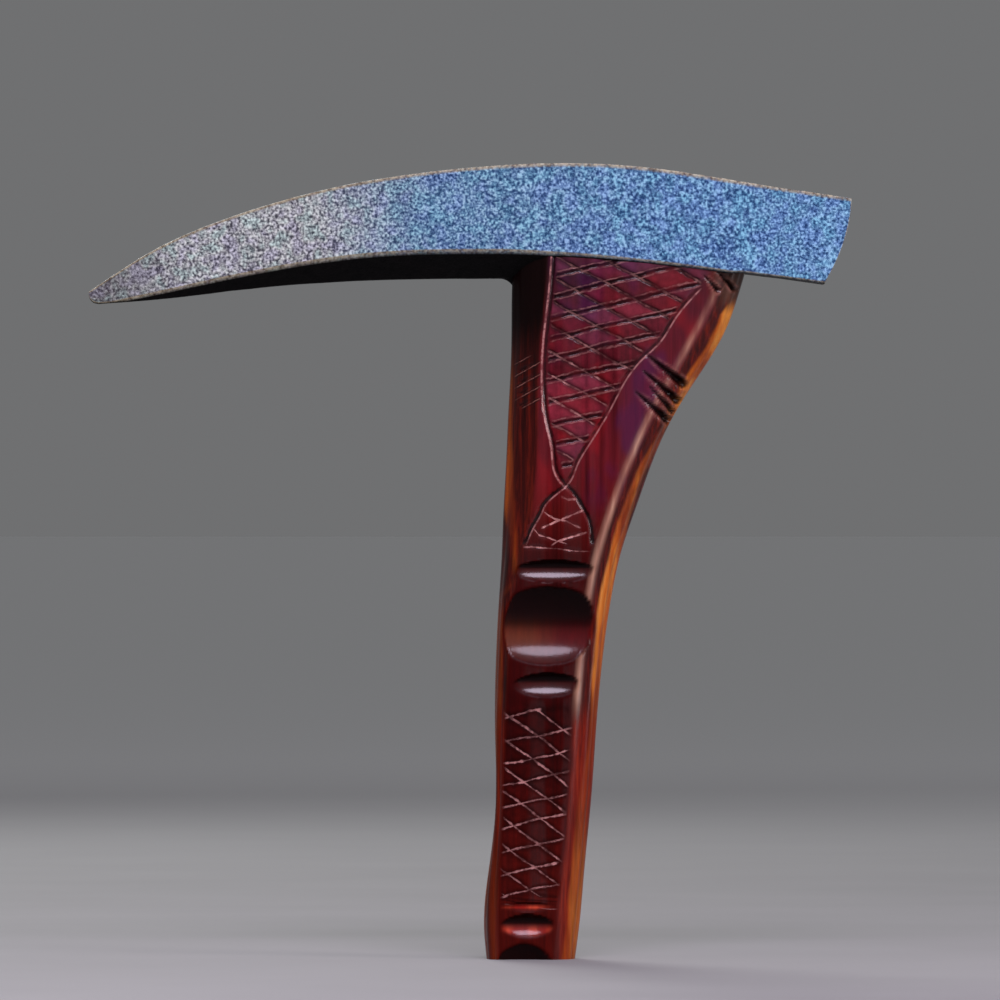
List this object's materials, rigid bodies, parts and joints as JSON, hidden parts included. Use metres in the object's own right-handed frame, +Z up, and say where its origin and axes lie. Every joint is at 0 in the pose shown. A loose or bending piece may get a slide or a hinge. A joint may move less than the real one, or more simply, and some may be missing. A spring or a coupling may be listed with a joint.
{
  "type": "ice axe",
  "caption": "Ice axe with a curved tapering pick, a square hammer poll and a carved, chequered hardwood handle held in the head's eye by wedges.",
  "frame": {"origin": "centre of the handle's sawn butt, which is flat and level", "axes": "+Z up the handle towards the head, -X along the pick, +X towards the hammer poll, -Y out of the front face"},
  "size_m": [0.2674, 0.025, 0.2791],
  "materials": {
    "forged_steel": "speckled forge scale, blue-grey on the cheeks, paler at the point, black underneath",
    "lacquered_hardwood": "gloss lacquer, red-brown faces with amber edges",
    "wedge_wood": "bare end grain",
    "wedge_steel": "dull, hammered"
  },
  "bodies": {
    "root": {"head": "forged_steel", "handle": "lacquered_hardwood", "wooden_wedge": "wedge_wood", "cross_wedge_pick_side": "wedge_steel", "cross_wedge_poll_side": "wedge_steel"}
  },
  "joints": []
}
